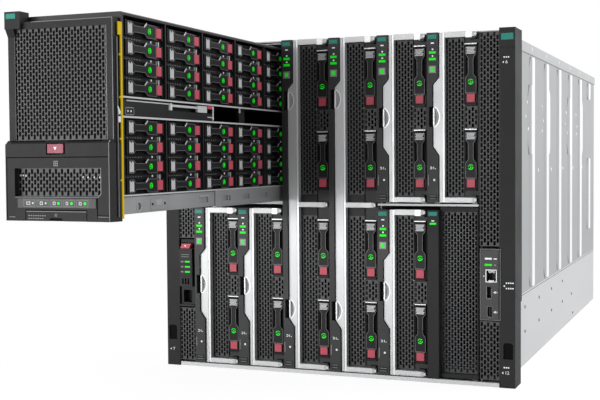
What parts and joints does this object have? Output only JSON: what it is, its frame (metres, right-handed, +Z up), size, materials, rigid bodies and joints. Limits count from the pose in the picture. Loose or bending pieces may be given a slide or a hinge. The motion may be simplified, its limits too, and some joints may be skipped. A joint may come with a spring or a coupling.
{
  "type": "blade server chassis",
  "caption": "Rack chassis with slide-out blades on swing handles, a pulled-out storage drawer of disk drives, side console and rear fan, link and power modules.",
  "frame": {"origin": "centre of the case's underside, midway between the ears' front face and the rear", "axes": "+X to the right seen from the front, -Y towards the front, +Z up"},
  "size_m": [0.4826, 1.3348, 0.442],
  "materials": {
    "case_steel": "light grey satin sheet steel",
    "handle_silver": "bright satin cast metal",
    "charcoal_plastic": "fine-grained moulded plastic",
    "blade_black": "black powder coat",
    "grille_black": "black powder coat on perforated sheet",
    "carrier_black": "moulded plastic",
    "release_red": "smooth moulded plastic",
    "rail_steel": "zinc-plated steel",
    "rear_grey": "dark grey coated sheet",
    "board_green": "circuit board with black connectors",
    "button_grey": "translucent plastic"
  },
  "bodies": {
    "chassis": {"base_tray": "case_steel", "side_panels": "case_steel", "top_cover": "case_steel", "bay_frame": "case_steel", "midplane": "board_green", "ear_covers": "charcoal_plastic", "column_grilles": "grille_black", "console_panel": "charcoal_plastic", "rear_frame": "case_steel", "fan_modules": "rear_grey", "interconnect_modules": "rear_grey", "power_supplies": "rear_grey", "storage_frame": "case_steel"},
    "appliance": {"appliance_module": "blade_black"},
    "appliance_release": {"appliance_latch": "release_red"},
    "drawer": {"drawer_body": "blade_black", "drawer_bezel": "charcoal_plastic", "drawer_grille": "grille_black", "drawer_drives": "carrier_black"},
    "drawer_release": {"drawer_button": "release_red"},
    "middle_rails": {"slide_rails": "rail_steel"},
    "adapter": {"io_adapter": "blade_black"},
    "adapter_lever": {"io_lever": "handle_silver"},
    "label_flap": {"info_tab": "charcoal_plastic"},
    "module_12": {"bay_12_module": "blade_black"},
    "blade_3": {"blade_3_sled": "blade_black", "blade_3_grille": "grille_black", "blade_3_drives": "carrier_black"},
    "handle_3": {"blade_3_handle": "handle_silver"},
    "button_3": {"blade_3_button": "button_grey"},
    "blade_4": {"blade_4_sled": "blade_black", "blade_4_grille": "grille_black", "blade_4_drives": "carrier_black"},
    "handle_4": {"blade_4_handle": "handle_silver"},
    "button_4": {"blade_4_button": "button_grey"},
    "blade_5": {"blade_5_sled": "blade_black", "blade_5_grille": "grille_black", "blade_5_drives": "carrier_black"},
    "handle_5": {"blade_5_handle": "handle_silver"},
    "button_5": {"blade_5_button": "button_grey"},
    "blade_6": {"blade_6_sled": "blade_black", "blade_6_grille": "grille_black", "blade_6_drives": "carrier_black"},
    "handle_6": {"blade_6_handle": "handle_silver"},
    "button_6": {"blade_6_button": "button_grey"},
    "blade_7": {"blade_7_sled": "blade_black", "blade_7_grille": "grille_black", "blade_7_drives": "carrier_black"},
    "handle_7": {"blade_7_handle": "handle_silver"},
    "button_7": {"blade_7_button": "button_grey"},
    "blade_8": {"blade_8_sled": "blade_black", "blade_8_grille": "grille_black", "blade_8_drives": "carrier_black"},
    "handle_8": {"blade_8_handle": "handle_silver"},
    "button_8": {"blade_8_button": "button_grey"},
    "blade_11": {"blade_11_sled": "blade_black", "blade_11_grille": "grille_black", "blade_11_drives": "carrier_black"},
    "handle_11": {"blade_11_handle": "handle_silver"},
    "button_11": {"blade_11_button": "button_grey"}
  },
  "joints": [
    {"name": "drawer_slide", "type": "slide", "parent": "chassis", "child": "drawer", "axis": [0, 1, 0], "range_m": [-0.042, 0.409]},
    {"name": "middle_rail_slide", "type": "slide", "parent": "chassis", "child": "middle_rails", "axis": [0, 1, 0], "range_m": [-0.021, 0.2045]},
    {"name": "drawer_release_press", "type": "slide", "parent": "drawer", "child": "drawer_release", "axis": [0, 1, 0], "range_m": [0, 0.0025], "stiffness_N_per_m": 400},
    {"name": "adapter_slide", "type": "slide", "parent": "drawer", "child": "adapter", "axis": [-1, 0, 0], "range_m": [-0.09, 0]},
    {"name": "adapter_lever_swing", "type": "hinge", "parent": "adapter", "child": "adapter_lever", "pos_m": [-0.0747, -0.746, 0.3409], "axis": [0, 0, 1], "range_deg": [-60, 0]},
    {"name": "label_flap_swing", "type": "hinge", "parent": "drawer", "child": "label_flap", "pos_m": [-0.1365, -0.867, 0.2254], "axis": [-1, 0, 0], "range_deg": [-80, 0]},
    {"name": "appliance_slide", "type": "slide", "parent": "chassis", "child": "appliance", "axis": [0, -1, 0], "range_m": [0, 0.3]},
    {"name": "appliance_release_press", "type": "slide", "parent": "appliance", "child": "appliance_release", "axis": [0, 1, 0], "range_m": [0, 0.003], "stiffness_N_per_m": 300},
    {"name": "module_12_slide", "type": "slide", "parent": "chassis", "child": "module_12", "axis": [0, -1, 0], "range_m": [0, 0.4]},
    {"name": "blade_3_slide", "type": "slide", "parent": "chassis", "child": "blade_3", "axis": [0, -1, 0], "range_m": [0, 0.4]},
    {"name": "handle_3_swing", "type": "hinge", "parent": "blade_3", "child": "handle_3", "pos_m": [-0.008, -0.45135, 0.2233], "axis": [0, 0, 1], "range_deg": [0, 70]},
    {"name": "button_3_press", "type": "slide", "parent": "blade_3", "child": "button_3", "axis": [0, 1, 0], "range_m": [0, 0.001], "stiffness_N_per_m": 500},
    {"name": "blade_4_slide", "type": "slide", "parent": "chassis", "child": "blade_4", "axis": [0, -1, 0], "range_m": [0, 0.4]},
    {"name": "handle_4_swing", "type": "hinge", "parent": "blade_4", "child": "handle_4", "pos_m": [0.0575, -0.45135, 0.2233], "axis": [0, 0, 1], "range_deg": [0, 70]},
    {"name": "button_4_press", "type": "slide", "parent": "blade_4", "child": "button_4", "axis": [0, 1, 0], "range_m": [0, 0.001], "stiffness_N_per_m": 500},
    {"name": "blade_5_slide", "type": "slide", "parent": "chassis", "child": "blade_5", "axis": [0, -1, 0], "range_m": [0, 0.4]},
    {"name": "handle_5_swing", "type": "hinge", "parent": "blade_5", "child": "handle_5", "pos_m": [0.123, -0.45135, 0.3338], "axis": [0, 0, 1], "range_deg": [0, 70]},
    {"name": "button_5_press", "type": "slide", "parent": "blade_5", "child": "button_5", "axis": [0, 1, 0], "range_m": [0, 0.001], "stiffness_N_per_m": 500},
    {"name": "blade_6_slide", "type": "slide", "parent": "chassis", "child": "blade_6", "axis": [0, -1, 0], "range_m": [0, 0.4]},
    {"name": "handle_6_swing", "type": "hinge", "parent": "blade_6", "child": "handle_6", "pos_m": [0.1885, -0.45135, 0.3338], "axis": [0, 0, 1], "range_deg": [0, 70]},
    {"name": "button_6_press", "type": "slide", "parent": "blade_6", "child": "button_6", "axis": [0, 1, 0], "range_m": [0, 0.001], "stiffness_N_per_m": 500},
    {"name": "blade_7_slide", "type": "slide", "parent": "chassis", "child": "blade_7", "axis": [0, -1, 0], "range_m": [0, 0.4]},
    {"name": "handle_7_swing", "type": "hinge", "parent": "blade_7", "child": "handle_7", "pos_m": [-0.139, -0.45135, 0.1128], "axis": [0, 0, 1], "range_deg": [0, 70]},
    {"name": "button_7_press", "type": "slide", "parent": "blade_7", "child": "button_7", "axis": [0, 1, 0], "range_m": [0, 0.001], "stiffness_N_per_m": 500},
    {"name": "blade_8_slide", "type": "slide", "parent": "chassis", "child": "blade_8", "axis": [0, -1, 0], "range_m": [0, 0.4]},
    {"name": "handle_8_swing", "type": "hinge", "parent": "blade_8", "child": "handle_8", "pos_m": [-0.0735, -0.45135, 0.1128], "axis": [0, 0, 1], "range_deg": [0, 70]},
    {"name": "button_8_press", "type": "slide", "parent": "blade_8", "child": "button_8", "axis": [0, 1, 0], "range_m": [0, 0.001], "stiffness_N_per_m": 500},
    {"name": "blade_11_slide", "type": "slide", "parent": "chassis", "child": "blade_11", "axis": [0, -1, 0], "range_m": [0, 0.4]},
    {"name": "handle_11_swing", "type": "hinge", "parent": "blade_11", "child": "handle_11", "pos_m": [0.123, -0.45135, 0.1128], "axis": [0, 0, 1], "range_deg": [0, 70]},
    {"name": "button_11_press", "type": "slide", "parent": "blade_11", "child": "button_11", "axis": [0, 1, 0], "range_m": [0, 0.001], "stiffness_N_per_m": 500}
  ],
  "couplings": [
    {"joint": "middle_rail_slide", "follows": "drawer_slide", "ratio": 0.5}
  ]
}
